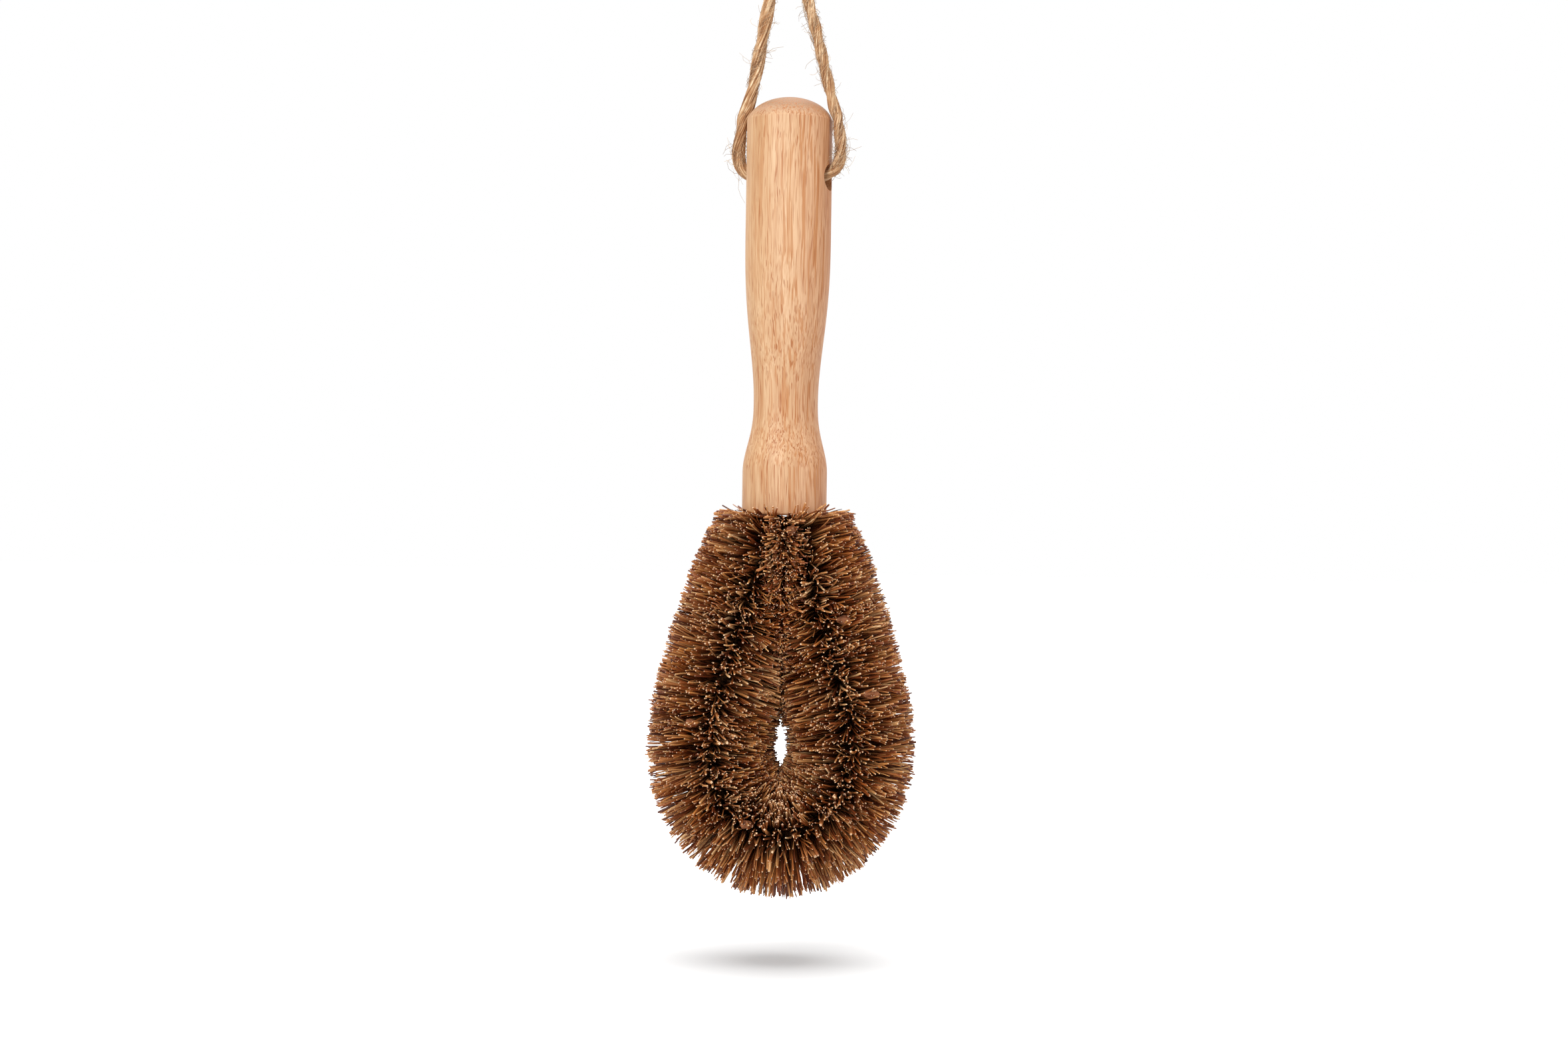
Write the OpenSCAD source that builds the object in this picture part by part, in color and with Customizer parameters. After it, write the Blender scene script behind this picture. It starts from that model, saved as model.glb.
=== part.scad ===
// Vegetable brush: coconut fibre held in a twisted wire loop, on a turned wooden handle that
// hangs from a loop of jute cord. Millimetres, +Z up. The origin is the top of the cord's loop,
// where a hook carries it. The head lies in the XZ plane, and its front faces -Y.

/* [Handle] */
// Length of the handle
handle_l = 125.5; // [110:0.5:160]
// Diameter of the grip, the upper stretch
grip_d = 25.7; // [22:0.1:29]
// Length of the straight stretch of the grip
grip_l = 33.6; // [28:0.1:45]
// Height of the domed top
dome_h = 7; // [4:0.1:12]
// Diameter of the waist
waist_d = 19.3; // [16:0.1:22]
// Height of the waist above the handle's lower end
waist_up = 33.9; // [28:0.1:45]
// Diameter of the collar above the bristles
collar_d = 25.4; // [22:0.1:30]
// Length of the straight collar
collar_l = 12.9; // [6:0.1:16]
// Radius of the edge at the lower end
end_round = 0.8; // [0.2:0.1:2]

/* [Cord hole] */
// Diameter of the hole across the handle
hole_d = 8; // [7.4:0.1:9.5]
// Distance of the hole below the handle's top
hole_down = 24.3; // [18:0.1:32]
// Turn of the hole away from the plane of the head, in degrees
hole_turn = 17.5; // [-45:0.5:45]

/* [Cord] */
// Thickness of the cord
cord_d = 3.7; // [3:0.1:4.4]
// Drop from the top of the loop to the hole
hang_drop = 72.7; // [72.7:0.1:72.7]
// Diameter of the knot
knot_d = 11.6; // [10:0.1:14]
// Turns of cord that make up the knot's height
knot_turns = 3; // [2:1:4]
// Length of the two loose ends above the knot
tail_l = 12; // [6:0.5:20]
// Lean of each loose end, in degrees
tail_lean = 18; // [10:1:30]

/* [Wire core] */
// Diameter of each of the two wires
wire_d = 1.3; // [0.9:0.05:1.6]
// Gap between the wires, where they pinch the fibres
wire_gap = 0.2; // [0.1:0.05:0.4]
// Length of one full twist
twist_pitch = 12; // [8:0.5:16]
// Depth of both ends in the handle
stem_depth = 27; // [18:0.5:34]
// Distance between the two ends in the handle
stem_spacing = 4.4; // [4.2:0.1:6]
// Free length of bore past the ends
bore_spare = 2; // [1:0.5:5]
// Clearance between the wires and the glue
wire_clearance = 0.1; // [0.05:0.05:0.3]
// Least thickness of the glue round the wires
glue_wall = 0.8; // [0.4:0.1:1.5]
// Clearance between the glue and the bore
glue_clearance = 0.05; // [0.02:0.01:0.1]
// Depth of the glue's face inside the handle
glue_recess = 1.5; // [0.5:0.5:4]

/* [Head] */
// Width of the wire loop, between its middle lines
loop_w = 42.2; // [35:0.2:51]
// Drop from the handle to the loop's widest place
loop_rise = 70; // [58:0.5:84]
// Drop from the widest place to the loop's lowest point
loop_drop = 25.6; // [24:0.2:32]
// Length of straight-down pull where the loop is widest
side_pull = 22; // [14:0.5:30]
// Length of straight-down pull below the handle
neck_pull = 5; // [4:0.5:14]
// Length of a bristle from the middle of the wires
bristle_l = 19.1; // [16:0.1:24]

/* [Bristles] */
// Number of sections that the bristles are split into
sections = 12; // [8:1:14]
// Rows of strands in each section
rows = 3; // [2:1:4]
// Strands around the wires in each row
around = 9; // [8:1:12]
// Diameter of the packed roots round the wires
root_d = 6.8; // [6:0.1:8]
// Clearance between the wires and the packed roots
root_clearance = 0.3; // [0.1:0.05:0.4]
// Distance of the first and last root below the handle
root_start = 3; // [2.5:0.1:6]
// Thickness of the strands at the root
strand_root = 1.5; // [0.8:0.1:1.6]
// Thickness of the strands at the tip
strand_tip = 0.9; // [0.5:0.1:1.2]
// Half the gap kept free along the middle of the head
middle_gap = 0.9; // [0.6:0.1:2]
// Shortest strand before a row turns to the front and back instead
inner_l = 12; // [8:0.5:16]
// Least gap between neighbouring rows on the inside of the bend
inner_pitch = 1.4; // [1:0.1:2]
// Lean of the first and last row towards the handle, in degrees
top_lean = 8; // [0:1:14]
// Gap between neighbouring sections
section_gap = 0.1; // [0.05:0.05:0.5]

/* [Hidden] */
$fn = 96;

top_z = hole_down - hang_drop;
end_z = top_z - handle_l;
wide_z = end_z - loop_rise;
twist_r = (wire_d + wire_gap) / 2;
core_r = twist_r + wire_d / 2;
stem_hole_d = 2 * (core_r + wire_clearance);
bore_d = stem_spacing + stem_hole_d + 2 * (glue_wall + glue_clearance);

// Shared functions
function unit(v) = v / norm(v);
// A slow S from 0 to 1, which starts later as the power grows
function sweep(t, power) = (1 - cos(180 * pow(t, power))) / 2;
function quad(a, b, c, d) = [[a, b, c], [a, c, d]];
// Triangles between two closed rings of as many points, given by their first indices
function band(a, b, count) = [
    for (k = [0:count - 1], t = quad(a + k, b + k, b + (k + 1) % count, a + (k + 1) % count)) t
];
// A closed cap over a ring of points
function fan(start, count) = [for (k = [1:count - 2]) [start, start + k, start + k + 1]];
function flipped(faces) = [for (f = faces) [f[0], f[2], f[1]]];

// Handle

dome_edge = 80;
taper_power = 1.4;
flare_power = 1.3;
taper_l = handle_l - dome_h - grip_l - waist_up;
flare_l = waist_up - collar_l;
grip_end_z = top_z - dome_h - grip_l;
waist_z = end_z + waist_up;

dome_outline = [
    for (a = [0:10:dome_edge])
        [grip_d / 2 * sin(a) / sin(dome_edge), top_z - dome_h * (1 - cos(a)) / (1 - cos(dome_edge))]
];
taper_outline = [
    for (t = [0:1 / 7:1.001])
        [(grip_d + (waist_d - grip_d) * sweep(t, taper_power)) / 2, grip_end_z - t * taper_l]
];
flare_outline = [
    for (t = [1 / 5:1 / 5:1.001])
        [(waist_d + (collar_d - waist_d) * sweep(t, flare_power)) / 2, waist_z - t * flare_l]
];
end_outline = [
    for (a = [0:45:90])
        [collar_d / 2 - end_round * (1 - cos(a)), end_z + end_round * (1 - sin(a))]
];

module handle() {
    color("burlywood")
    difference() {
        rotate_extrude()
            polygon(concat(dome_outline, taper_outline, flare_outline, end_outline, [[0, end_z]]));
        translate([0, 0, top_z - hole_down])
            rotate([0, 90, -hole_turn])
                cylinder(d = hole_d, h = 2 * grip_d, center = true);
        translate([0, 0, end_z - 1])
            cylinder(d = bore_d, h = 1 + stem_depth + bore_spare);
    }
}

// Set glue in the bore, with a way through it for each twisted end
module glue_plug() {
    color("khaki")
    difference() {
        translate([0, 0, end_z + glue_recess])
            cylinder(d = bore_d - 2 * glue_clearance, h = stem_depth - glue_recess);
        for (side = [-1, 1])
            translate([side * stem_spacing / 2, 0, end_z])
                cylinder(d = stem_hole_d, h = stem_depth + 1);
    }
}

// Middle line of the wire core: down the left leg, round the loop and up the right leg

function bezier(p, t) =
    pow(1 - t, 3) * p[0] + 3 * pow(1 - t, 2) * t * p[1] + 3 * (1 - t) * t * t * p[2] + pow(t, 3) * p[3];

shoulder = [
    [stem_spacing / 2, end_z],
    [stem_spacing / 2, end_z - neck_pull],
    [loop_w / 2, wide_z + side_pull],
    [loop_w / 2, wide_z]
];
right_half = concat(
    [[stem_spacing / 2, end_z + stem_depth]],
    [for (t = [0:1 / 60:1.001]) bezier(shoulder, t)],
    [for (a = [3:3:90]) [loop_w / 2 * cos(a), wide_z - loop_drop * sin(a)]]
);
half_points = len(right_half);
core_line = concat(
    [for (p = right_half) [-p[0], p[1]]],
    [for (i = [half_points - 2:-1:0]) right_half[i]]
);
core_run = [
    for (i = 0, run = 0; i < len(core_line);
         i = i + 1, run = run + (i < len(core_line) ? norm(core_line[i] - core_line[i - 1]) : 0)) run
];
core_l = core_run[len(core_run) - 1];
core_x = [for (i = [0:len(core_line) - 1]) [core_run[i], core_line[i][0]]];
core_z = [for (i = [0:len(core_line) - 1]) [core_run[i], core_line[i][1]]];

// Point, direction and outward side of the core, a distance along it from its left end
look = 0.5;
function core(s) = [lookup(s, core_x), 0, lookup(s, core_z)];
function heading(s) = unit(core(min(s + look, core_l)) - core(max(s - look, 0)));
function outward(s) = let (h = heading(s)) [h[2], 0, -h[0]];
function side_of(s) = s < core_l / 2 ? -1 : 1;
function bend_radius(s) =
    let (turn = acos(min(1, heading(s - 2) * heading(s + 2)))) 4 / max(turn * PI / 180, 0.001);

// Two wires twisted round each other

wire_sides = 5;
rings_per_twist = 8;
wire_rings = floor(core_l / twist_pitch * rings_per_twist);

function wire_radial(s, phase) =
    let (a = 360 * s / twist_pitch + phase) cos(a) * outward(s) + sin(a) * [0, 1, 0];
function wire_middle(s, phase) = core(s) + twist_r * wire_radial(s, phase);
function wire_ring(s, phase) =
    let (
        near = 0.2,
        along = unit(
            wire_middle(min(s + near, core_l), phase) - wire_middle(max(s - near, 0), phase)
        ),
        u = wire_radial(s, phase),
        v = unit(cross(along, u))
    )
    [for (k = [0:wire_sides - 1])
        let (a = 360 * k / wire_sides) wire_middle(s, phase) + wire_d / 2 * (cos(a) * u + sin(a) * v)];

module core_wire(phase) {
    color("silver")
    polyhedron(
        points = [for (i = [0:wire_rings], p = wire_ring(i * core_l / wire_rings, phase)) p],
        faces = concat(
            fan(0, wire_sides),
            [for (i = [0:wire_rings - 1], f = band(i * wire_sides, (i + 1) * wire_sides, wire_sides)) f],
            flipped(fan(wire_rings * wire_sides, wire_sides))
        )
    );
}

// Bristle sections: a sleeve of packed roots round the wires, with strands that point away from it

sleeve_sides = 6;
sleeve_spans = 3;
sleeve_middle = 0.3;
root_run = stem_depth + root_start;
section_l = (core_l - 2 * root_run) / sections;
row_pitch = section_l / rows;
sleeve_bore_r = (core_r + root_clearance) / cos(180 / sleeve_sides);
strand_start_r = core_r + root_clearance + strand_root / 3;
root_angle = 2 * asin((strand_root + 0.1) / root_d);
leaning_rows = 3;

function kept_aside(p, s) = [side_of(s) * max(side_of(s) * p[0], sleeve_middle), p[1], p[2]];
function around_core(s, a) = cos(a) * outward(s) + sin(a) * [0, 1, 0];
function sleeve_ring(s, r) = [
    for (k = [0.5:sleeve_sides]) kept_aside(core(s) + r * around_core(s, 360 * k / sleeve_sides), s)
];

module sleeve(from, to) {
    runs = [for (i = [0:sleeve_spans]) from + (to - from) * i / sleeve_spans];
    outer = [for (run = runs, p = sleeve_ring(run, root_d / 2)) p];
    inner = [for (run = runs, p = sleeve_ring(run, sleeve_bore_r)) p];
    n = sleeve_sides;
    far = sleeve_spans * n;
    bore = len(outer);
    polyhedron(
        points = concat(outer, inner),
        faces = concat(
            band(bore, 0, n),
            [for (i = [0:sleeve_spans - 1], f = band(i * n, (i + 1) * n, n)) f],
            band(far, bore + far, n),
            [for (i = [0:sleeve_spans - 1], f = band(bore + (i + 1) * n, bore + i * n, n)) f]
        )
    );
}

// Room between a place on the core and the middle of the head
function room(s) = side_of(s) * core(s)[0] - middle_gap;
function slope(s) = max(abs(outward(s)[0]), 0.01);
function widest_angle(s) = min(
    180 * (around - 1) / around,
    acos(max(-1, -room(s) / (inner_l * slope(s))))
);
function row_count(s) = min(around, 1 + floor(2 * widest_angle(s) / root_angle));
function rows_from_handle(s) = (min(s, core_l - s) - root_run) / row_pitch - 0.5;
function lean(s) = top_lean * max(0, 1 - rows_from_handle(s) / leaning_rows);
function away(s, a) = cos(lean(s)) * around_core(s, a) + sin(lean(s)) * side_of(s) * heading(s);

// A strand stops short of the middle, and of the next row on the inside of the bend
function strand_length(s, a) =
    let (bend_side = max(-cos(a), 0.001), middle_side = max(-side_of(s) * away(s, a)[0], 0.001))
    min(
        bristle_l,
        bend_radius(s) * (1 - inner_pitch / row_pitch) / bend_side,
        room(s) / middle_side
    );

module strand(s, a) {
    u = unit(cross(away(s, a), heading(s)));
    v = cross(away(s, a), u);
    polyhedron(
        points = [
            for (end = [[strand_start_r, strand_root], [strand_length(s, a), strand_tip]], k = [0:2])
                core(s) + end[0] * away(s, a) + end[1] / 2 * (cos(120 * k) * u + sin(120 * k) * v)
        ],
        faces = concat(fan(0, 3), band(0, 3, 3), flipped(fan(3, 3)))
    );
}

module bristles(section) {
    from = root_run + (section - 1) * section_l;
    color("saddlebrown")
    union() {
        sleeve(from + section_gap / 2, from + section_l - section_gap / 2);
        for (row = [0.5:rows]) {
            s = from + row * row_pitch;
            count = row_count(s);
            for (k = [0:count - 1])
                strand(s, widest_angle(s) * (2 * k / (count - 1) - 1));
        }
    }
}

// Cord: each leg runs from the middle of the hole, out of its mouth and up to the knot.
// Places are [outward along the hole, height above the middle of the hole].

cord_sides = 8;
inside_route = [
    [0, 0.1], [5, 0.1], [9.4, 0.3], [11.4, 0.6], [13.2, 1.5], [14.7, 2.9], [15.7, 4.8], [16.1, 7]
];
left_rise = [
    [16.1, 9], [15.7, 12], [15.1, 16], [14.9, 17.9], [14.3, 19.6], [13.4, 21.9], [12.2, 26],
    [11, 31.5], [9, 43], [6.9, 54], [4.3, 65]
];
right_rise = [
    [16.1, 9], [15.8, 12], [15.2, 16], [14.9, 17.9], [14.3, 19.6], [13.6, 21.6], [12.5, 25.8],
    [9.9, 36], [7.6, 45], [5.1, 54], [3.2, 65]
];
knot_end = [cord_d / 2 + 0.1, hang_drop];

function placed(p, side) =
    let (c = cos(hole_turn), d = -sin(hole_turn))
    [side * p[0] * c, side * p[0] * d, p[1] - hang_drop];

module cord_leg(side, rise) {
    line = [for (p = concat(inside_route, rise, [knot_end])) placed(p, side)];
    last = len(line) - 1;
    across = [sin(hole_turn), cos(hole_turn), 0];
    color("tan")
    polyhedron(
        points = [
            for (i = [0:last])
                let (
                    along = i == last ? [0, 0, 1] : unit(line[i + 1] - line[max(i - 1, 0)]),
                    u = unit(cross(across, along))
                )
                for (k = [0.5:cord_sides])
                    let (a = 360 * k / cord_sides)
                    line[i] + cord_d / 2 * (cos(a) * u + sin(a) * across)
        ],
        faces = concat(
            fan(0, cord_sides),
            [for (i = [0:last - 1], f = band(i * cord_sides, (i + 1) * cord_sides, cord_sides)) f],
            flipped(fan(last * cord_sides, cord_sides))
        )
    );
}

// Knot over the top of the loop: turns of cord round both legs, and the two loose ends

turn_pitch = cord_d * 0.85;
turn_z = cord_d / 2 + 0.2;
knot_core_r = knot_d / 2 - cord_d / 2 + 0.3;
knot_h = turn_z + (knot_turns - 1) * turn_pitch + cord_d / 2 - 0.3;

module cord_knot() {
    color("tan")
    rotate([0, 0, -hole_turn]) {
        cylinder(r = knot_core_r, h = knot_h, $fn = 12);
        for (i = [0:knot_turns - 1])
            translate([0, 0, turn_z + i * turn_pitch])
                rotate_extrude($fn = 12)
                    translate([(knot_d - cord_d) / 2, 0])
                        circle(d = cord_d, $fn = cord_sides);
        for (side = [-1, 1])
            translate([side * 1.1 * cord_d / 2, 0, knot_h - cord_d / 2])
                rotate([0, side * tail_lean, 0])
                    cylinder(d = cord_d, h = tail_l + cord_d / 2, $fn = cord_sides);
    }
}

handle();
glue_plug();
core_wire(0);  // core_wire_a
core_wire(180);  // core_wire_b
cord_leg(-1, left_rise);  // cord_left
cord_leg(1, right_rise);  // cord_right
cord_knot();
for (i = [1:sections])
    bristles(i);
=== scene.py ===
import math

import bmesh
import bpy
import numpy as np
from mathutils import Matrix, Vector


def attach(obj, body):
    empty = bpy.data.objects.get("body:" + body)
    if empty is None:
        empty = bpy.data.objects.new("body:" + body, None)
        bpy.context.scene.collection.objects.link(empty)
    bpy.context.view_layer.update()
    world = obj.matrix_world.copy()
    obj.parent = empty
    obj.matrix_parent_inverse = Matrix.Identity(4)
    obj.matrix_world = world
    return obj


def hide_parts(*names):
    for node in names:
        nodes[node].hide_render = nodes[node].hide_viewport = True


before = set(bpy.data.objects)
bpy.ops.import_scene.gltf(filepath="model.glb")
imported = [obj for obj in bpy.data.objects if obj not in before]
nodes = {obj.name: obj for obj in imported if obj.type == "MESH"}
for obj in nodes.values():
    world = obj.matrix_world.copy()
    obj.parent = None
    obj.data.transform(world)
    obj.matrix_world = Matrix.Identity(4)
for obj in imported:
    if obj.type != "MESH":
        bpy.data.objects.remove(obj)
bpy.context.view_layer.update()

# Wire core
# Two galvanised steel wires of 1.3 mm, twisted round the fibres into one long brush and bent
# into a loop. Both ends go up into the handle.


def linear(colour):
    """An sRGB hex colour as the linear colour a shader takes."""
    parts = [int(colour[i:i + 2], 16) / 255 for i in (0, 2, 4)]
    return [c / 12.92 if c <= 0.04045 else ((c + 0.055) / 1.055) ** 2.4 for c in parts] + [1.0]


def add(tree, kind, inputs=(), stops=(), **settings):
    """Adds a node with its settings. An input is a value or another node's output."""
    made = tree.nodes.new("ShaderNode" + kind)
    for name, value in settings.items():
        setattr(made, name, value)
    for name, value in dict(inputs).items():
        if isinstance(value, bpy.types.NodeSocket):
            tree.links.new(value, made.inputs[name])
        else:
            made.inputs[name].default_value = value
    for i, (place, colour) in enumerate(stops):
        ramp = made.color_ramp.elements
        stop = ramp[i] if i < 2 else ramp.new(place)
        stop.position = place
        stop.color = linear(colour)
    return made


def new_material(name):
    """An empty material and its node tree."""
    made = bpy.data.materials.new(name)
    made.use_nodes = True
    made.node_tree.nodes.clear()
    return made, made.node_tree


def give(obj, material):
    """Makes a material the only one on a piece."""
    obj.data.materials.clear()
    obj.data.materials.append(material)


# Galvanised wire: a dull grey zinc skin, a little uneven, with a faint spangle of about 1 mm
galvanised_steel, tree = new_material("galvanised_steel")
place = add(tree, "TexCoord").outputs["Object"]
spangle = add(tree, "TexNoise", {"Vector": place, "Scale": 900.0, "Detail": 3.0})
tone = add(tree, "ValToRGB", {"Fac": spangle.outputs["Fac"]}, [(0.35, "8F9193"), (0.7, "BFC1C2")])
rough = add(tree, "MapRange", {"Value": spangle.outputs["Fac"], "To Min": 0.3, "To Max": 0.5})
dents = add(tree, "Bump", {"Height": spangle.outputs["Fac"], "Strength": 0.2, "Distance": 0.0001})
steel = add(tree, "BsdfPrincipled", {
    "Base Color": tone.outputs["Color"],
    "Metallic": 1.0,
    "Roughness": rough.outputs["Result"],
    "Normal": dents.outputs["Normal"],
})
add(tree, "OutputMaterial", {"Surface": steel.outputs["BSDF"]})
give(nodes["core_wire_a"], galvanised_steel)
give(nodes["core_wire_b"], galvanised_steel)

# Bristles
# Coconut fibre, about 0.4 mm thick, laid between the wires, caught as they were twisted and
# sheared to one length. The twist leaves them in two spiral rows with bare valleys between.

# The wires' middle line, in metres: two stems in the handle, a shoulder on each side down to the
# widest place, and half an oval below
end_z = -0.1739
stem_x = 0.0022
wide_z = -0.2439
wide_x = 0.0211
loop_drop = 0.0256
side_pull = 0.022
neck_pull = 0.005
stem_depth = 0.027

down = np.linspace(0, 1, 121)[:, None]
shoulder = np.array([
    [stem_x, end_z],
    [stem_x, end_z - neck_pull],
    [wide_x, wide_z + side_pull],
    [wide_x, wide_z],
])
leg = (
    (1 - down) ** 3 * shoulder[0]
    + 3 * (1 - down) ** 2 * down * shoulder[1]
    + 3 * (1 - down) * down * down * shoulder[2]
    + down ** 3 * shoulder[3]
)
turn = np.radians(np.linspace(1.5, 90, 60))
bend = np.stack([wide_x * np.cos(turn), wide_z - loop_drop * np.sin(turn)], 1)
right_half = np.concatenate([[[stem_x, end_z + stem_depth]], leg, bend])
core_line = np.concatenate([right_half * [-1, 1], right_half[-2::-1]])
core_run = np.concatenate([[0], np.cumsum(np.linalg.norm(np.diff(core_line, axis=0), axis=1))])
core_l = core_run[-1]


def core_at(s):
    """Place, heading and outward side of the wires' middle line, at distances along it."""
    near = 0.0005
    x, x_before, x_after = (np.interp(s + d, core_run, core_line[:, 0]) for d in (0, -near, near))
    z, z_before, z_after = (np.interp(s + d, core_run, core_line[:, 1]) for d in (0, -near, near))
    dx, dz = x_after - x_before, z_after - z_before
    size = np.hypot(dx, dz)
    dx, dz, no = dx / size, dz / size, np.zeros_like(x)
    return np.stack([x, no, z], -1), np.stack([dx, no, dz], -1), np.stack([dz, no, -dx], -1)


def mesh_of_curve(curve, name):
    """Turns a curve with a thickness into a mesh object at the origin."""
    drawn = bpy.data.objects.new(name, curve)
    bpy.context.scene.collection.objects.link(drawn)
    mesh = bpy.data.meshes.new_from_object(
        drawn.evaluated_get(bpy.context.evaluated_depsgraph_get())
    )
    bpy.data.objects.remove(drawn)
    bpy.data.curves.remove(curve)
    mesh.name = name
    made = bpy.data.objects.new(name, mesh)
    bpy.context.scene.collection.objects.link(made)
    return made


def hairs(name, lines, radius, thickness, turned):
    """Thin four-sided fibres along lines, an array of strands by points by 3."""
    curve = bpy.data.curves.new(name, "CURVE")
    curve.dimensions = "3D"
    curve.bevel_depth = radius
    curve.bevel_resolution = 0
    curve.use_fill_caps = True
    count = lines.shape[1]
    for line, thick, tilt in zip(lines, thickness, turned):
        spline = curve.splines.new("POLY")
        spline.points.add(count - 1)
        spline.points.foreach_set("co", np.column_stack([line, np.ones(count)]).ravel())
        spline.points.foreach_set("radius", thick)
        spline.points.foreach_set("tilt", np.full(count, tilt))
    return mesh_of_curve(curve, name)


def mark(obj, name, rings, ends):
    """Writes a value on each fibre, for its rings and its two cut ends. Blender lists the ends
    of the last fibre first, and all ends before all rings."""
    points = np.concatenate([np.asarray(ends)[::-1].ravel(), np.asarray(rings).ravel()])
    obj.data.attributes.new(name, "FLOAT", "POINT").data.foreach_set(
        "value", np.repeat(points, 4).astype(np.float32)
    )


root_start = 0.003
twist_pitch = 0.012
bristle_l = 0.0191
sections = 12
strands_each = 1800
strand_r = 0.00023
strand_foot = 0.001
strand_steps = np.array([0, 0.35, 0.65, 0.88, 0.982, 1])
strand_taper = np.array([0.9, 1.0, 1.05, 1.0, 0.95, 0.8])
root_run = stem_depth + root_start
section_l = (core_l - 2 * root_run) / sections

# The first and last section reach on towards the handle, by a share of a section
reach_on = 0.15
# Half the fibres stand in the two spiral rows, 0.6 radians to each side, the rest all round
caught_share, row_spread = 0.5, 0.6
# Up to this share is worn away where a fibre points to the front or back
worn_share, worn_width = 0.3, 0.55
# Size of a tuft along the wires and round them, and how far tufts and single fibres lean
tuft_l, tuft_a = 0.0018, 0.4
tuft_lean_by, tuft_turn_by = 0.0009, 0.09
own_lean_by, own_turn_by = 0.0014, 0.09
own_length_by, wobble = 0.00032, 0.00016
# The gap in the middle of the head: its top, and how much longer fibres are just above it
gap_top, longer = [-0.2345, -0.2325], [0.0002, 0.0017]
# Below the first height the inward fibres stand straight, and above the second many are short
calm_z, crowded_z = -0.222, -0.203
# Under the handle: how far down the wires, how wide and how much the fibres fan up or sink
fan_at, fan_width, fan_by = 0.004, 0.005, 0.0068
sink_at, sink_width, sink_by = 0.005, 0.006, 0.0045
# How far from the middle of the head the two legs' fibres may turn, more near the handle
turn_z, turn_room = [-0.204, -0.196], [0.001, 0.0028]
# The fibres of the two legs cross here and there above the gap, and all of them in the bend
cross_share, cross_z, cross_by = 0.12, -0.221, 0.001
bend_z, bend_cross_by = -0.2515, 0.004
# Radius under the handle in which no fibre rises to it
handle_room = 0.0131

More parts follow.
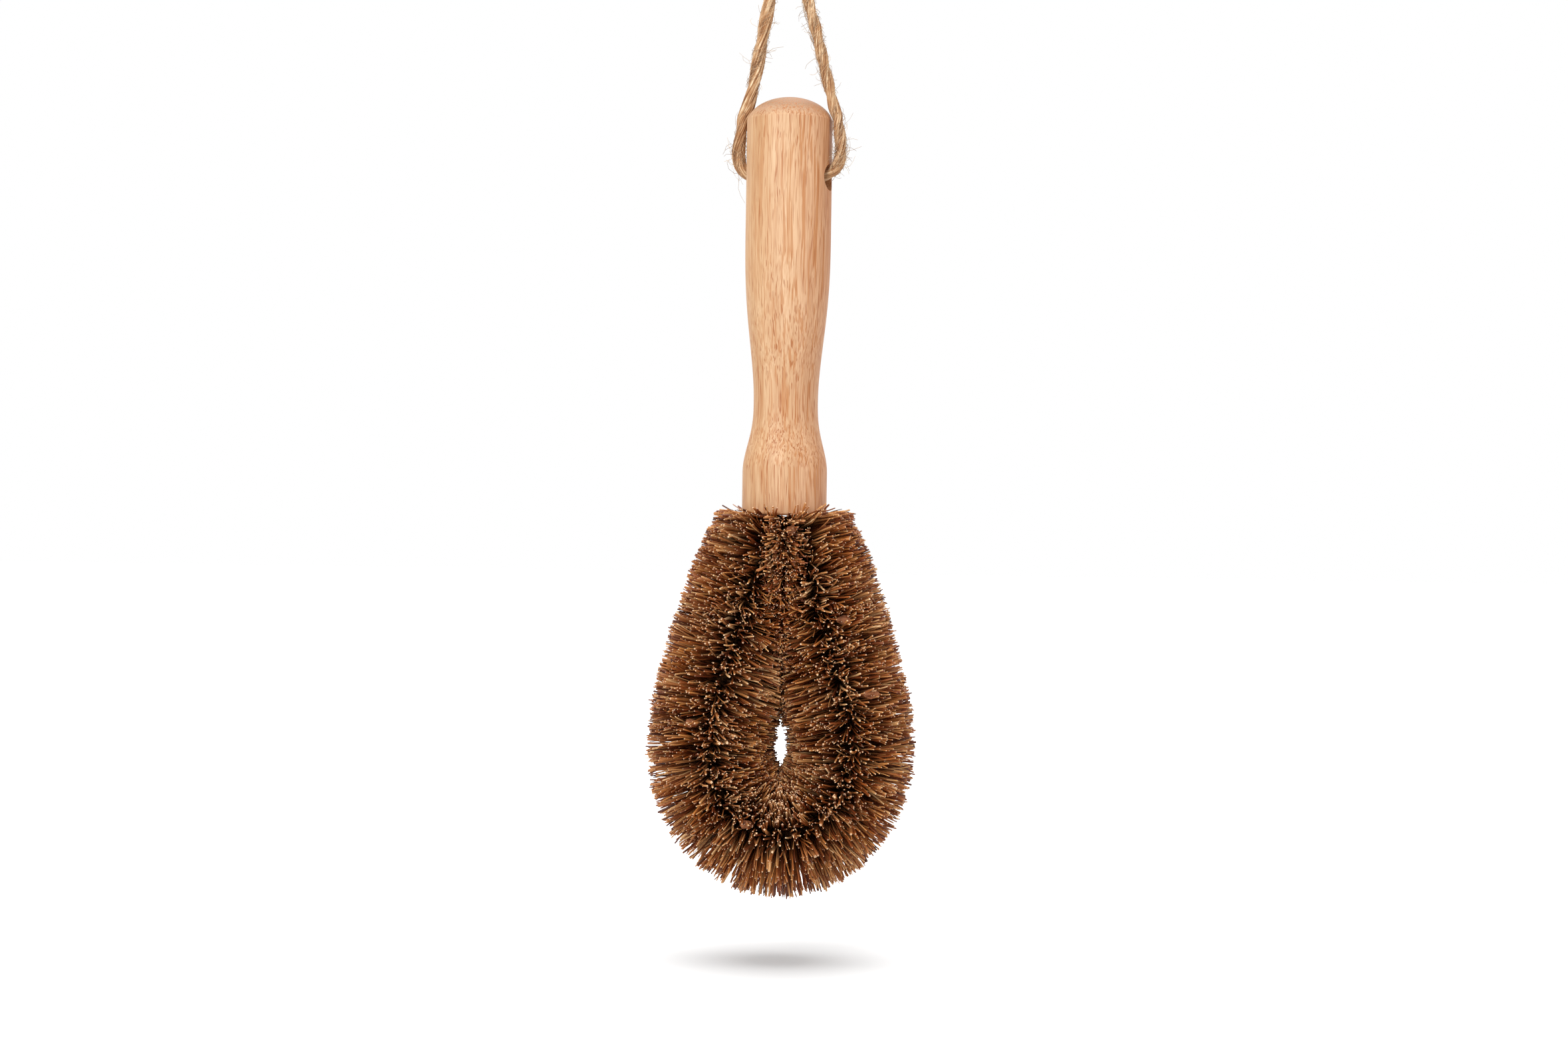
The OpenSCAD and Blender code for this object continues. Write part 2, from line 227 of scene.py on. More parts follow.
rng = np.random.default_rng(7)
bristles = []
for section in range(sections):
    # A fibre starts at the distance s along the wires and the angle a round them, from outward
    count = strands_each
    first = section - (reach_on if section == 0 else 0)
    last = section + (1 + reach_on if section == sections - 1 else 1)
    s = root_run + section_l * rng.uniform(first, last, count)
    row = rng.integers(0, 2, count) * np.pi + 2 * np.pi * s / twist_pitch
    caught = rng.random(count) < caught_share
    a = np.where(caught, row + rng.normal(0, row_spread, count), rng.random(count) * 2 * np.pi)
    a = np.mod(a, 2 * np.pi)

    # Packed flat in its box, the head has worn thinner to the front and back
    kept = rng.random(count) > worn_share * np.exp(-((np.cos(a) / worn_width) ** 2))
    s, a = s[kept], a[kept]
    count = len(s)

    # Fibres lean together in tufts, and each has a little of its own bend
    tuft = np.stack([np.floor(s / tuft_l), np.floor(a / tuft_a)], 1)
    found, of_tuft = np.unique(tuft, axis=0, return_inverse=True)
    of_tuft = of_tuft.ravel()
    tuft_lean = rng.normal(0, tuft_lean_by, len(found))[of_tuft]
    tuft_turn = rng.normal(0, tuft_turn_by, len(found))[of_tuft]
    pull = rng.uniform(0.05, 0.45, len(found))[of_tuft]
    to_middle = (tuft[:, 0] + 0.5) * tuft_l - s
    to_centre = (tuft[:, 1] + 0.5) * tuft_a - a
    shift = tuft_lean + pull * to_middle + rng.normal(0, own_lean_by, count)
    swing = tuft_turn + pull * to_centre * 0.7 + rng.normal(0, own_turn_by, count)

    # The ends are sheared nearly even. Beside the gap the fibres stand straight, and close above
    # it they reach further. Some are broken short, most of all near the handle.
    length = bristle_l + rng.normal(0, own_length_by, count)
    inward = np.clip(-np.cos(a), 0, 1)
    middle, heading, outward = core_at(s)
    length += inward * np.interp(middle[:, 2], gap_top, longer)
    calm = 1 - 0.75 * inward * (middle[:, 2] < calm_z)
    shift, swing = shift * calm, swing * calm
    crowded = (middle[:, 2] > crowded_z) & (np.cos(a) < 0.35)
    short = rng.random(count) < np.where(crowded, 0.6, 0.25 - 0.15 * inward)
    length = np.where(short, bristle_l * rng.uniform(0.66, 0.98, count), length)

    # Under the handle they fan up in front of its end and behind it, and sink at the outer sides
    side = np.where(s < core_l / 2, -1.0, 1.0)
    below = end_z - middle[:, 2]
    rise = fan_by * np.exp(-(((below - fan_at) / fan_width) ** 2))
    rise = np.minimum(2.1 * (below - 0.0003), rise)
    rise = np.where(np.abs(middle[:, 0]) < 0.012, rise, 0) * rng.uniform(0.1, 1, count)
    droop = sink_by * np.exp(-(((below - sink_at) / sink_width) ** 2))
    rise = rise * np.sin(a) ** 2 - droop * np.clip(np.cos(a), 0, 1) ** 2
    shift = shift * np.clip(below / 0.012, 0.25, 1)
    straight = []
    for step in strand_steps:
        angle = (a + swing * step ** 1.5)[:, None]
        reach = (strand_foot + (length - strand_foot) * step)[:, None]
        radial = np.cos(angle) * outward + np.sin(angle) * np.array([0, 1, 0])
        point = middle + reach * radial + heading * (shift * step ** 1.6)[:, None]
        point[:, 2] += rise * step ** 2
        straight.append(point + rng.normal(0, wobble, (count, 3)) * np.sin(np.pi * step))

    # A fibre that meets those of the other leg turns along the middle of the head
    widest = np.interp(middle[:, 2], turn_z, turn_room)
    room = np.clip(0.85 * np.abs(middle[:, 0]), 0.0003, widest)
    margin = room * rng.random(count) ** 1.5
    crosses = (rng.random(count) < cross_share) & (middle[:, 2] > cross_z)
    margin = np.where(crosses, -cross_by, margin)
    margin = np.where(middle[:, 2] < bend_z, -bend_cross_by, margin)
    drift = rng.uniform(-0.03, 0.3, count) * bristle_l
    met = np.zeros(count)
    line = [straight[0]]
    for before, after, step in zip(straight, straight[1:], np.diff(strand_steps)):
        move = after - before
        place_now = line[-1] + move
        nearest = margin + drift * met
        meets = (side * place_now[:, 0] < nearest) | (met > 0)
        met = np.where(meets, met + step, 0)
        dx = side * nearest - line[-1][:, 0]
        left = np.sqrt(np.maximum((move ** 2).sum(1) - dx ** 2, 0))
        dy = np.where(move[:, 1] == 0, 1e-6, move[:, 1])
        dz = move[:, 2] * 0.6
        size = np.hypot(dy, dz)
        turned = line[-1] + np.stack([dx, left * dy / size, left * dz / size], 1)
        line.append(np.where(meets[:, None], turned, place_now))
    lines = np.stack(line, 1)

    # Nothing enters the handle's end
    over = np.hypot(lines[..., 0], lines[..., 1]) < handle_room
    top = end_z - 0.0001 - 0.0005 * rng.random(count)[:, None]
    lines[..., 2] = np.where(over, np.minimum(lines[..., 2], top), lines[..., 2])

    # Fibres differ in thickness, and one in forty is far thicker
    coarse = np.clip(rng.lognormal(-0.05, 0.28, count), 0.55, 1.8)
    coarse = np.where(rng.random(count) < 0.025, coarse * 1.7, coarse)
    made = hairs(
        f"fibres_{section + 1}", lines, strand_r, coarse[:, None] * strand_taper,
        rng.random(count) * np.pi,
    )

    # Each has its own shade, and a place along it: up to 0.98 on its side, and 1 on its cut end
    own = rng.random(count)[:, None]
    mark(made, "strand", np.repeat(own, len(strand_steps), 1), np.repeat(own, 2, 1))
    mark(made, "along", np.tile(strand_steps * 0.98, (count, 1)), np.tile([1, 0], (count, 1)))
    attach(made, "brush")
    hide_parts(f"bristles_{section + 1}")
    bristles.append(made)

# Coconut fibre: brown, waxy and dull, each strand its own shade, with a pale sheared end
coconut_fibre, tree = new_material("coconut_fibre")
place = add(tree, "TexCoord").outputs["Object"]
strand = add(tree, "Attribute", attribute_name="strand").outputs["Fac"]
along = add(tree, "Attribute", attribute_name="along").outputs["Fac"]
shade = add(tree, "ValToRGB", {"Fac": strand}, [
    (0.0, "45200F"), (1.0, "F3CF9D"), (0.2, "7F4221"), (0.55, "BB7946"), (0.85, "DFA96F"),
])

# Patches about 11 mm across, where the husk was a little duller
patches = add(tree, "TexNoise", {"Vector": place, "Scale": 90.0, "Detail": 2.0})
warmth = add(tree, "ValToRGB", {"Fac": patches.outputs["Fac"]}, [
    (0.35, "EDCFA6"), (0.65, "FFFFFF"),
])
fibre = add(tree, "Mix", {
    0: 1.0, 6: shade.outputs["Color"], 7: warmth.outputs["Color"],
}, data_type="RGBA", blend_type="MULTIPLY")

# Dust and painted shade darken the fibres near the wires, and the shears leave the ends pale
# Painted shade: towards the wires each fibre's colour is multiplied down to a dark brown
depth = add(tree, "ValToRGB", {"Fac": along}, [(0.15, "5A4032"), (0.75, "FFFFFF")])
deep = add(tree, "Mix", {
    0: 1.0, 6: fibre.outputs[2], 7: depth.outputs["Color"],
}, data_type="RGBA", blend_type="MULTIPLY")
cut_light = add(tree, "MapRange", {"Value": strand, "To Min": 0.3, "To Max": 0.9})
cut = add(tree, "MapRange", {
    "Value": along, "From Min": 0.985, "From Max": 1.0, "To Max": cut_light.outputs["Result"],
})
ended = add(tree, "Mix", {
    0: cut.outputs["Result"], 6: deep.outputs[2], 7: linear("E6C6A0"),
}, data_type="RGBA")
coir = add(tree, "BsdfPrincipled", {"Base Color": ended.outputs[2], "Roughness": 0.42})
add(tree, "OutputMaterial", {"Surface": coir.outputs["BSDF"]})
for made in bristles:
    give(made, coconut_fibre)

# The same fibre where it is packed hard round the wires: rough, full of ridges, and dark with
# painted shade
packed_fibre, tree = new_material("packed_fibre")
place = add(tree, "TexCoord").outputs["Object"]
packed = add(tree, "TexNoise", {"Vector": place, "Scale": 2500.0, "Detail": 2.0})
# Painted shade: the packed roots are coloured far darker than the loose fibre, for the shade deep
# among them
packed_shade_tone = add(tree, "ValToRGB", {"Fac": packed.outputs["Fac"]}, [
    (0.35, "2A170B"), (0.65, "6B4526"),
])
ridged = add(tree, "Bump", {"Height": packed.outputs["Fac"], "Strength": 1.0, "Distance": 0.0004})
felt = add(tree, "BsdfPrincipled", {
    "Base Color": packed_shade_tone.outputs["Color"], "Roughness": 0.9, "Specular IOR Level": 0.2,
    "Normal": ridged.outputs["Normal"],
})
add(tree, "OutputMaterial", {"Surface": felt.outputs["BSDF"]})

root_r = 0.0027
root_wall = 0.0006
sleeve = bpy.data.curves.new("packed_roots", "CURVE")
sleeve.dimensions = "3D"
sleeve.bevel_depth = root_r
sleeve.bevel_resolution = 3
spline = sleeve.splines.new("POLY")
run = np.arange(stem_depth + 0.0001, core_l - stem_depth - 0.0001, 0.0008)
middle = core_at(run)[0]
spline.points.add(len(run) - 1)
spline.points.foreach_set("co", np.column_stack([middle, np.ones(len(run))]).ravel())
spline.points.foreach_set("radius", 1 + 0.12 * np.sin(4 * np.pi * run / twist_pitch))
roots = mesh_of_curve(sleeve, "packed_roots")
shape = bmesh.new()
shape.from_mesh(roots.data)
bmesh.ops.recalc_face_normals(shape, faces=shape.faces)
shape.to_mesh(roots.data)
shape.free()
wall = roots.modifiers.new("wall", "SOLIDIFY")
wall.thickness = root_wall
wall.offset = -1
give(roots, packed_fibre)
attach(roots, "brush")

# Crumbs of husk pith, left among the fibres where they are caught near the front
husk_pith, tree = new_material("husk_pith")
place = add(tree, "TexCoord").outputs["Object"]
crumb = add(tree, "TexNoise", {"Vector": place, "Scale": 1200.0, "Detail": 3.0})
crumb_tone = add(tree, "ValToRGB", {"Fac": crumb.outputs["Fac"]}, [
    (0.3, "6E3F24"), (0.7, "A86A42"),
])
pits = add(tree, "Bump", {"Height": crumb.outputs["Fac"], "Strength": 0.7, "Distance": 0.0003})
pith = add(tree, "BsdfPrincipled", {
    "Base Color": crumb_tone.outputs["Color"], "Roughness": 0.85, "Normal": pits.outputs["Normal"],
})
add(tree, "OutputMaterial", {"Surface": pith.outputs["BSDF"]})

# Where each crumb sits and half its width, depth and height
rng = np.random.default_rng(3)
for number, (x, y, z, wide, deep, tall) in enumerate([
    (0.0023, -0.0163, -0.1783, 0.0015, 0.0014, 0.0014),
    (0.0181, -0.0150, -0.2046, 0.0022, 0.0010, 0.0014),
    (0.0264, -0.0140, -0.2264, 0.0026, 0.0010, 0.0014),
    (-0.0266, -0.0140, -0.2358, 0.0020, 0.0010, 0.0013),
    (-0.0100, -0.0160, -0.2652, 0.0018, 0.0010, 0.0013),
]):
    shape = bmesh.new()
    ball = bmesh.ops.create_icosphere(shape, subdivisions=3, radius=1)["verts"]
    for vert in ball:
        vert.co *= 1 + 0.1 * math.sin(5 * vert.co.x + number) + rng.uniform(-0.06, 0.06)
    bmesh.ops.scale(shape, verts=ball, vec=(wide, deep, tall))
    bmesh.ops.translate(shape, verts=ball, vec=(x, y, z))
    for face in shape.faces:
        face.smooth = True
    mesh = bpy.data.meshes.new(f"pith_{number + 1}")
    shape.to_mesh(mesh)
    shape.free()
    lump = bpy.data.objects.new(f"pith_{number + 1}", mesh)
    bpy.context.scene.collection.objects.link(lump)
    give(lump, husk_pith)
    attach(lump, "brush")

# Handle
# Pale hardwood with open pores, turned on a lathe and lightly oiled. A hole is drilled across
# the grip for the cord, and a blind bore in the lower end takes the wires.

top_z = -0.0484
grip_r = 0.01285
waist_r = 0.00965
collar_r = 0.0127
dome_h = 0.007
grip_l = 0.0336
waist_up = 0.0339
collar_l = 0.0129
end_round = 0.0008
dome_edge = math.radians(80)
hole_z = -0.0727
hole_r = 0.004
hole_turn = math.radians(17.5)
bore_r = 0.00455
bore_l = 0.029


def sweep(part, power):
    """A slow S from 0 to 1, which starts later as the power grows."""
    return (1 - math.cos(math.pi * part ** power)) / 2


dome_end_z = top_z - dome_h
grip_end_z = dome_end_z - grip_l
waist_z = end_z + waist_up

# Half the handle's outline, from the top of the dome down to the middle of its lower end
outline = [
    (grip_r * math.sin(a) / math.sin(dome_edge),
     top_z - dome_h * (1 - math.cos(a)) / (1 - math.cos(dome_edge)))
    for a in (dome_edge * i / 20 for i in range(21))
]
outline += [(grip_r, dome_end_z - grip_l * i / 12) for i in range(1, 12)]
outline += [
    (grip_r + (waist_r - grip_r) * sweep(i / 30, 1.4), grip_end_z + (waist_z - grip_end_z) * i / 30)
    for i in range(31)
]
outline += [
    (waist_r + (collar_r - waist_r) * sweep(i / 16, 1.3),
     waist_z + (end_z + collar_l - waist_z) * i / 16)
    for i in range(1, 17)
]
outline += [(collar_r, end_z + collar_l * (1 - i / 5) + end_round * i / 5) for i in range(1, 5)]
outline += [
    (collar_r - end_round * (1 - math.cos(a)), end_z + end_round * (1 - math.sin(a)))
    for a in (math.radians(15 * i) for i in range(7))
]
outline.append((0.0, end_z))

shape = bmesh.new()
ring = [shape.verts.new((x, 0, z)) for x, z in outline]
edges = [shape.edges.new(pair) for pair in zip(ring, ring[1:])]
bmesh.ops.spin(
    shape, geom=ring + edges, cent=(0, 0, 0), axis=(0, 0, 1), dvec=(0, 0, 0),
    angle=2 * math.pi, steps=160, use_merge=True,
)
bmesh.ops.remove_doubles(shape, verts=shape.verts, dist=1e-6)
bmesh.ops.recalc_face_normals(shape, faces=shape.faces)
mesh = bpy.data.meshes.new("turned_handle")
shape.to_mesh(mesh)
shape.free()
handle = bpy.data.objects.new("turned_handle", mesh)
bpy.context.scene.collection.objects.link(handle)

# The drill goes across for the cord, and up into the lower end for the wires
cutter_shape = bmesh.new()
across = bmesh.ops.create_cone(
    cutter_shape, cap_ends=True, segments=64, radius1=hole_r, radius2=hole_r, depth=0.04
)["verts"]
bmesh.ops.rotate(
    cutter_shape, verts=across,
    matrix=Vector((0, 0, 1)).rotation_difference(
        Vector((math.cos(hole_turn), -math.sin(hole_turn), 0))
    ).to_matrix(),
)
bmesh.ops.translate(cutter_shape, verts=across, vec=(0, 0, hole_z))
blind = bmesh.ops.create_cone(
    cutter_shape, cap_ends=True, segments=64, radius1=bore_r, radius2=bore_r,
    depth=bore_l + 0.001,
)["verts"]
bmesh.ops.translate(cutter_shape, verts=blind, vec=(0, 0, end_z + (bore_l - 0.001) / 2))
cutter_mesh = bpy.data.meshes.new("drill")
cutter_shape.to_mesh(cutter_mesh)
cutter_shape.free()
drill = bpy.data.objects.new("drill", cutter_mesh)
bpy.context.scene.collection.objects.link(drill)
drilled = handle.modifiers.new("drilled", "BOOLEAN")
drilled.object = drill
drilled.operation = "DIFFERENCE"
drilled.solver = "EXACT"
mesh = bpy.data.meshes.new_from_object(
    handle.evaluated_get(bpy.context.evaluated_depsgraph_get())
)
handle.modifiers.clear()
handle.data = mesh
bpy.data.objects.remove(drill)

# Only the rim of the dome, the hole's edges and the bore's edges are sharp
shape = bmesh.new()
shape.from_mesh(mesh)
for face in shape.faces:
    face.smooth = True
for edge in shape.edges:
    on_rim = all(abs(v.co.z - dome_end_z) < 1e-6 for v in edge.verts)
    edge.smooth = not on_rim and edge.calc_face_angle(0) < math.radians(30)
shape.to_mesh(mesh)
shape.free()
mesh.name = "turned_handle"

# Oiled hardwood: honey-pink, rosier to one side of the board, with open pores that show as
# dark dashes along the grain and as dots on the domed end
oiled_wood, tree = new_material("oiled_hardwood")
place = add(tree, "TexCoord").outputs["Object"]
slow = add(tree, "Mapping", {"Vector": place, "Scale": (1.0, 1.0, 0.3)})
wave = add(tree, "TexNoise", {"Vector": slow.outputs["Vector"], "Scale": 70.0, "Detail": 2.0})
bent = add(tree, "VectorMath", {0: wave.outputs["Color"], 1: (0.5, 0.5, 0.5)}, operation="SUBTRACT")
bent = add(tree, "VectorMath", {0: bent.outputs[0], "Scale": 0.004}, operation="SCALE")
wander = add(tree, "VectorMath", {0: place, 1: bent.outputs[0]}, operation="ADD").outputs[0]
across = add(tree, "SeparateXYZ", {"Vector": wander}).outputs["X"]
to_heart = add(tree, "MapRange", {
    "Value": across, "From Min": -0.012, "From Max": 0.012,
}).outputs["Result"]

# Growth bands about 5 mm wide, running the whole length
growth_place = add(tree, "Mapping", {"Vector": wander, "Scale": (1.0, 1.0, 0.09)})
growth = add(tree, "TexNoise", {
    "Vector": growth_place.outputs["Vector"], "Scale": 190.0, "Detail": 2.0,
})
growth_tone = add(tree, "ValToRGB", {"Fac": growth.outputs["Fac"]}, [
    (0.3, "C9A078"), (0.62, "DBB893"),
])
heart_tone = add(tree, "ValToRGB", {"Fac": to_heart}, [
    (0.0, "FAF4E8"), (1.0, "F2DACB"), (0.5, "FFFCFA"),
])
wood_tone = add(tree, "Mix", {
    0: 1.0, 6: growth_tone.outputs["Color"], 7: heart_tone.outputs["Color"],
}, data_type="RGBA", blend_type="MULTIPLY")

# The domed end cuts across the grain and drinks more oil, and painted shade darkens its top further
height = add(tree, "SeparateXYZ", {"Vector": place}).outputs["Z"]
end_grain_shade = add(tree, "MapRange", {
    "Value": height, "From Min": -0.0557, "From Max": -0.0515, "To Max": 0.85,
})
wood_tone = add(tree, "Mix", {
    0: end_grain_shade.outputs["Result"], 6: wood_tone.outputs[2], 7: linear("96714E"),
}, data_type="RGBA")

# Fine fibre streaks, 0.4 mm wide and many millimetres long
fine = add(tree, "Mapping", {"Vector": wander, "Scale": (1.0, 1.0, 0.04)})
streak = add(tree, "TexNoise", {"Vector": fine.outputs["Vector"], "Scale": 2400.0, "Detail": 2.0})
streak_tone = add(tree, "ValToRGB", {"Fac": streak.outputs["Fac"]}, [
    (0.3, "E8D2C0"), (0.6, "FFFFFF"),
])
grain = add(tree, "Mix", {
    0: 0.8, 6: wood_tone.outputs[2], 7: streak_tone.outputs["Color"],
}, data_type="RGBA", blend_type="MULTIPLY")

# Long reddish lines about 0.7 mm apart, which show most on the heart side
line_place = add(tree, "Mapping", {"Vector": wander, "Scale": (1.0, 1.0, 0.012)})
lines = add(tree, "TexNoise", {"Vector": line_place.outputs["Vector"], "Scale": 1500.0})
line_fade = add(tree, "MapRange", {
    "Value": to_heart, "From Min": 0.1, "To Min": 0.4, "To Max": 0.9,
})
line_tone = add(tree, "MapRange", {
    "Value": lines.outputs["Fac"], "From Min": 0.53, "From Max": 0.59,
    "To Max": line_fade.outputs["Result"],
})
lined = add(tree, "Mix", {
    0: line_tone.outputs["Result"], 6: grain.outputs[2], 7: linear("B4723A"),
}, data_type="RGBA")

# Pores up to 0.3 mm wide and some millimetres long, closer towards the heart side, some fainter
pore_place = add(tree, "Mapping", {"Vector": wander, "Scale": (1.0, 1.0, 0.035)})
vessels = add(tree, "TexNoise", {
    "Vector": pore_place.outputs["Vector"], "Scale": 2900.0, "Detail": 1.0,
})
least = add(tree, "MapRange", {"Value": to_heart, "To Min": 0.625, "To Max": 0.585})
open_pore = add(tree, "Math", {
    0: vessels.outputs["Fac"], 1: least.outputs["Result"],
}, operation="SUBTRACT")
pore_depth = add(tree, "MapRange", {
    "Value": growth.outputs["Fac"], "From Min": 0.3, "From Max": 0.7, "To Min": 1.0, "To Max": 0.5,
})
pore = add(tree, "MapRange", {
    "Value": open_pore.outputs[0], "From Min": -0.02, "From Max": 0.05,
    "To Max": pore_depth.outputs["Result"],
})
wood = add(tree, "Mix", {
    0: pore.outputs["Result"], 6: lined.outputs[2], 7: linear("A05C28"),
}, data_type="RGBA")
relief = add(tree, "Bump", {
    "Height": streak.outputs["Fac"], "Strength": 0.1, "Distance": 0.00005,
})
oiled = add(tree, "BsdfPrincipled", {
    "Base Color": wood.outputs[2], "Roughness": 0.5, "Normal": relief.outputs["Normal"],
})
add(tree, "OutputMaterial", {"Surface": oiled.outputs["BSDF"]})
give(handle, oiled_wood)
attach(handle, "brush")
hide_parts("handle")

# Glue
# Set glue that fills the bore round both twisted ends, which it holds in the handle. It was
# poured in and dried amber.
cured_glue, tree = new_material("cured_glue")
place = add(tree, "TexCoord").outputs["Object"]
cloud = add(tree, "TexNoise", {"Vector": place, "Scale": 500.0, "Detail": 3.0})
tone = add(tree, "ValToRGB", {"Fac": cloud.outputs["Fac"]}, [(0.3, "B98A4A"), (0.7, "D9B679")])
lumps = add(tree, "Bump", {"Height": cloud.outputs["Fac"], "Strength": 0.4, "Distance": 0.0002})
glue = add(tree, "BsdfPrincipled", {
    "Base Color": tone.outputs["Color"], "Roughness": 0.3, "Normal": lumps.outputs["Normal"],
})
add(tree, "OutputMaterial", {"Surface": glue.outputs["BSDF"]})
give(nodes["glue_plug"], cured_glue)

# Cord
# Two-ply jute twine of 3.7 mm, threaded through the hole and pulled up on both sides into one
# hanging loop. The plies lie in long spirals, and stray hairs stand off them.

cord_d = 0.0037
hang_drop = 0.0727
# The way of each leg in millimetres: out along the hole, and up from the middle of the hole
inside_route = [
    (0, 0.1), (5, 0.1), (9.4, 0.3), (11.4, 0.6), (13.2, 1.5), (14.7, 2.9), (15.7, 4.8), (16.1, 7),
]
left_rise = [
    (16.1, 9), (15.7, 12), (15.1, 16), (14.9, 17.9), (14.3, 19.6), (13.4, 21.9), (12.2, 26),
    (11, 31.5), (9, 43), (6.9, 54), (4.3, 65),
]
right_rise = [
    (16.1, 9), (15.8, 12), (15.2, 16), (14.9, 17.9), (14.3, 19.6), (13.6, 21.6), (12.5, 25.8),
    (9.9, 36), (7.6, 45), (5.1, 54), (3.2, 65),
]
knot_end = (1.95, 72.7)
line_gap = 0.0005


def smooth_line(points, gap):
    """A smooth curve through the points, sampled at even gaps."""
    p = np.array(points, float)
    p = np.concatenate([[2 * p[0] - p[1]], p, [2 * p[-1] - p[-2]]])
    line = []
    for a, b, c, d in zip(p, p[1:], p[2:], p[3:]):
        u = np.linspace(0, 1, 24, endpoint=False)[:, None]
        line.append(0.5 * (
            2 * b + (c - a) * u + (2 * a - 5 * b + 4 * c - d) * u ** 2
            + (3 * b - a - 3 * c + d) * u ** 3
        ))
    line = np.concatenate(line + [p[-2:-1]])
    run = np.concatenate([[0], np.cumsum(np.linalg.norm(np.diff(line, axis=0), axis=1))])
    even = np.linspace(0, run[-1], max(2, round(run[-1] / gap)) + 1)
    return np.stack([np.interp(even, run, line[:, i]) for i in range(3)], 1), even


def twine(name, line, run, diameter, lay_length, tilt_from=0.0):
    """A two-ply twine along a line. Its attribute ply holds where a point lies round its ply."""
    ply_sides = 10
    ply_lay = 1.6 * lay_length
    spread, ply_r = 0.12 * diameter, 0.38 * diameter
    open_angle = math.acos(-spread / ply_r) * 0.98
    profile = []
    for side in (1, -1):
        for k in range(ply_sides):
            angle = open_angle * (2 * k / (ply_sides - 1) - 1)
            x, y = spread + ply_r * math.cos(angle), ply_r * math.sin(angle)
            profile.append((side * x, side * y, angle, side))
    cut = bpy.data.curves.new(name + "_cut", "CURVE")
    cut.dimensions = "2D"
    edge = cut.splines.new("POLY")
    edge.points.add(len(profile) - 1)
    edge.points.foreach_set("co", [v for x, y, _, _ in profile for v in (x, y, 0, 1)])
    edge.use_cyclic_u = True
    cut_object = bpy.data.objects.new(name + "_cut", cut)
    bpy.context.scene.collection.objects.link(cut_object)
    curve = bpy.data.curves.new(name, "CURVE")
    curve.dimensions = "3D"
    curve.bevel_mode = "OBJECT"
    curve.bevel_object = cut_object
    curve.use_fill_caps = True
    spline = curve.splines.new("POLY")
    spline.points.add(len(line) - 1)
    spline.points.foreach_set("co", np.column_stack([line, np.ones(len(line))]).ravel())
    spline.points.foreach_set("tilt", tilt_from + 2 * np.pi * run / lay_length)
    made = mesh_of_curve(curve, name)
    bpy.data.objects.remove(cut_object)
    angles = np.array([angle for _, _, angle, _ in profile])
    sides = np.array([side for _, _, _, side in profile])

    # Fibres twist round their own ply, and the two plies have patterns of their own
    own = angles[None, :] - 2 * np.pi * run[:, None] / ply_lay
    along_mm = np.repeat(run[:, None], len(profile), 1) * 1000
    ply = np.stack([np.cos(own) + 7 * sides[None, :], np.sin(own), along_mm], -1)
    ply = np.concatenate([ply[-1:], ply[:1], ply])
    made.data.attributes.new("ply", "FLOAT_VECTOR", "POINT").data.foreach_set(
        "vector", ply.astype(np.float32).ravel()
    )
    for face in made.data.polygons:
        face.use_smooth = True
    return made


# Each leg's side, rise, thickness, length of lay and first turn of its plies: hand-laid twine
# is never even
legs = {}
for name, side, rise, diameter, lay_length, first_turn in (
    ("left", -1, left_rise, 0.0041, 0.028, 0.4),
    ("right", 1, right_rise, 0.0036, 0.017, 1.9),
):
    route = [
        (side * u * math.cos(hole_turn) / 1000, -side * u * math.sin(hole_turn) / 1000,
         h / 1000 - hang_drop)
        for u, h in inside_route + rise + [knot_end]
    ]
    line, run = smooth_line(route, line_gap)
    piece = twine(f"twine_{name}", line, run, diameter, lay_length, first_turn)
    legs[name] = (piece, line, run[-1], side, diameter)

# Knot
# The two ends of the twine, wound three times round both legs and pulled tight, with the ends
# left loose above. It sits on the top of the loop, where the hook carries it.

knot_r = 0.0058 - cord_d / 2
turn_pitch = 0.85 * cord_d
knot_turns = 3
knot_lay = 0.012
tail_lean = math.radians(18)
tail_l = 0.0115
tail_foot_z = 0.002
turns = np.linspace(0, 2 * np.pi * knot_turns, 36 * knot_turns + 1)
first_z = cord_d / 2 + 0.0001
coil = np.stack([
    knot_r * np.cos(turns - hole_turn), knot_r * np.sin(turns - hole_turn),
    first_z + turn_pitch * (knot_turns - 1) * turns / turns[-1],
], 1)
line, run = smooth_line(coil[::3], line_gap)
coil_piece = twine("knot_coil", line, run, cord_d, knot_lay)
knot_top = first_z + (knot_turns - 1) * turn_pitch
tails = []
for name, side in (("left", -1), ("right", 1)):
    along = np.array([
        side * math.sin(tail_lean) * math.cos(hole_turn),
        -side * math.sin(tail_lean) * math.sin(hole_turn),
        math.cos(tail_lean),
    ])
    foot = np.array([
        side * 1.1 * cord_d / 2 * math.cos(hole_turn),
        -side * 1.1 * cord_d / 2 * math.sin(hole_turn),
        tail_foot_z,
    ])
    tail = [foot - [0, 0, 0.003]]
    tail += [foot + along * u for u in np.linspace(0, knot_top + tail_l - tail_foot_z, 8)]
    line, run = smooth_line(tail, line_gap)
    tails.append(twine(f"knot_end_{name}", line, run, cord_d, knot_lay))

# Stray hairs
# Single jute fibres that have worked loose from the twine, a few millimetres long and
# thinner than sewing thread. They stand closest where the cord bends at the handle.
hair_r = 0.000055
hair_points = 6
lying_each, standing_each = 420, 380
bend_share, bend_run = 0.7, 0.0145
clear_of_grip, clear_of_dome = 0.0132, -0.048
across_loop = np.array([math.sin(hole_turn), math.cos(hole_turn), 0])


def off_cord(line, over, part, angle, height):
    """Places off a cord's middle line, at a part of its length, an angle round it and a height."""
    i = np.clip((part * (len(line) - 1)).astype(int), 0, len(line) - 1)
    return line[i] + height[..., None] * (
        np.cos(angle)[..., None] * across_loop + np.sin(angle)[..., None] * over[i]
    )


